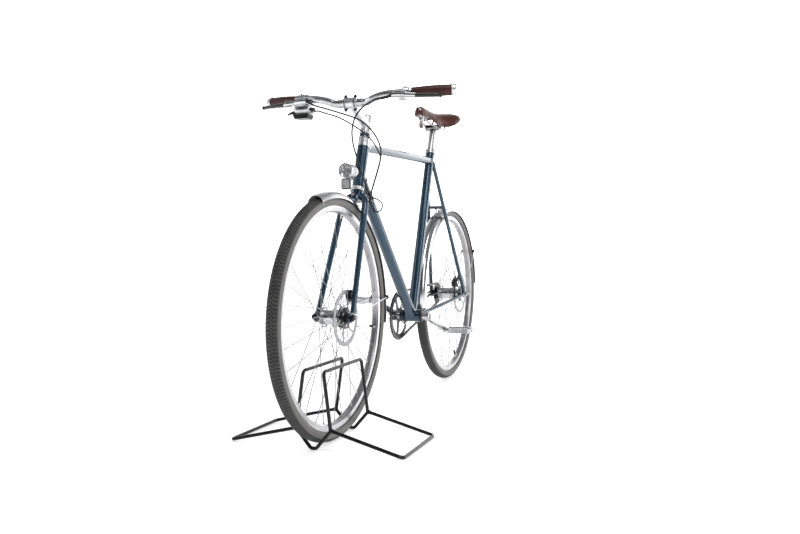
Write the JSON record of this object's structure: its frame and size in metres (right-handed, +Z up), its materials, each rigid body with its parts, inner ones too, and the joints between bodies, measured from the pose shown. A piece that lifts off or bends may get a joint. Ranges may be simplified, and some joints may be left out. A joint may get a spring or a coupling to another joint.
{
  "type": "city bicycle",
  "caption": "City bicycle with a straight top tube frame, disc brakes, full mudguards, chain drive, headlamp and leather saddle, held at the front wheel by a wire display stand",
  "frame": {"origin": "On the floor at Z = 0, in the bicycle's middle plane and midway between the two axles.", "axes": "+X points forward, +Y to the rider's left and +Z up."},
  "size_m": [1.7674, 0.6252, 1.0704],
  "materials": {
    "frame_paint": "gloss",
    "polished": "polished",
    "brown_leather": "satin",
    "satin_steel": "satin",
    "black_metal": "satin",
    "cable_black": "satin",
    "reflector": "gloss",
    "stand_black": "satin",
    "tyre_rubber": "matte",
    "rim_alloy": "polished"
  },
  "bodies": {
    "frame": {"head_tube": "frame_paint", "top_tube": "frame_paint", "down_tube": "frame_paint", "seat_tube": "frame_paint", "bottom_bracket": "frame_paint", "chainstays": "frame_paint", "seatstays": "frame_paint", "stay_bridges": "frame_paint", "dropouts": "frame_paint", "headset": "polished", "seat_clamp": "polished", "seatpost": "polished", "saddle": "brown_leather", "saddle_frame": "satin_steel", "rear_axle": "polished", "rear_caliper": "black_metal", "rear_mudguard": "polished", "rear_mudguard_stays": "polished", "chain": "satin_steel", "rear_brake_hose": "cable_black", "gear_cable": "cable_black"},
    "steering": {"fork_crown": "frame_paint", "fork_blades": "frame_paint", "fork_dropouts": "frame_paint", "stem": "polished", "stem_spacer": "frame_paint", "handlebar": "polished", "grips": "brown_leather", "bar_end_caps": "polished", "brake_levers": "black_metal", "gear_shifter": "black_metal", "headlamp": "polished", "lamp_bracket": "satin_steel", "front_reflector": "reflector", "front_axle": "polished", "front_caliper": "black_metal", "front_mudguard": "polished", "front_mudguard_stays": "polished", "front_brake_hose": "cable_black", "stand_uprights": "stand_black", "stand_cradle": "stand_black", "stand_foot_left": "stand_black", "stand_foot_right": "stand_black"},
    "front_wheel": {"front_tyre": "tyre_rubber", "front_rim": "rim_alloy", "front_spokes": "satin_steel", "front_hub": "polished", "front_rotor": "satin_steel"},
    "rear_wheel": {"rear_tyre": "tyre_rubber", "rear_rim": "rim_alloy", "rear_spokes": "satin_steel", "rear_hub": "polished", "rear_rotor": "satin_steel", "rear_sprocket": "black_metal"},
    "crankset": {"chainring": "black_metal", "cranks": "polished"},
    "pedal_left": {"pedal_left": "polished"},
    "pedal_right": {"pedal_right": "polished"}
  },
  "joints": [
    {"name": "steering_turn", "type": "hinge", "parent": "frame", "child": "steering", "pos_m": [0.4887, 0, 0.33409], "axis": [-0.309, 0, 0.9511], "range_deg": [-60, 60], "deforming": ["rear_brake_hose", "gear_cable"]},
    {"name": "front_wheel_spin", "type": "hinge", "parent": "steering", "child": "front_wheel", "pos_m": [0.5315, 0, 0.348], "axis": [0, 1, 0], "continuous": true},
    {"name": "rear_wheel_spin", "type": "hinge", "parent": "frame", "child": "rear_wheel", "pos_m": [-0.5315, 0, 0.348], "axis": [0, 1, 0], "continuous": true},
    {"name": "crank_spin", "type": "hinge", "parent": "frame", "child": "crankset", "pos_m": [-0.1045, 0, 0.294], "axis": [0, 1, 0], "continuous": true},
    {"name": "pedal_left_spin", "type": "hinge", "parent": "crankset", "child": "pedal_left", "pos_m": [-0.26212, 0.136, 0.23032], "axis": [0, 1, 0], "continuous": true},
    {"name": "pedal_right_spin", "type": "hinge", "parent": "crankset", "child": "pedal_right", "pos_m": [0.05312, -0.136, 0.35768], "axis": [0, 1, 0], "continuous": true}
  ]
}
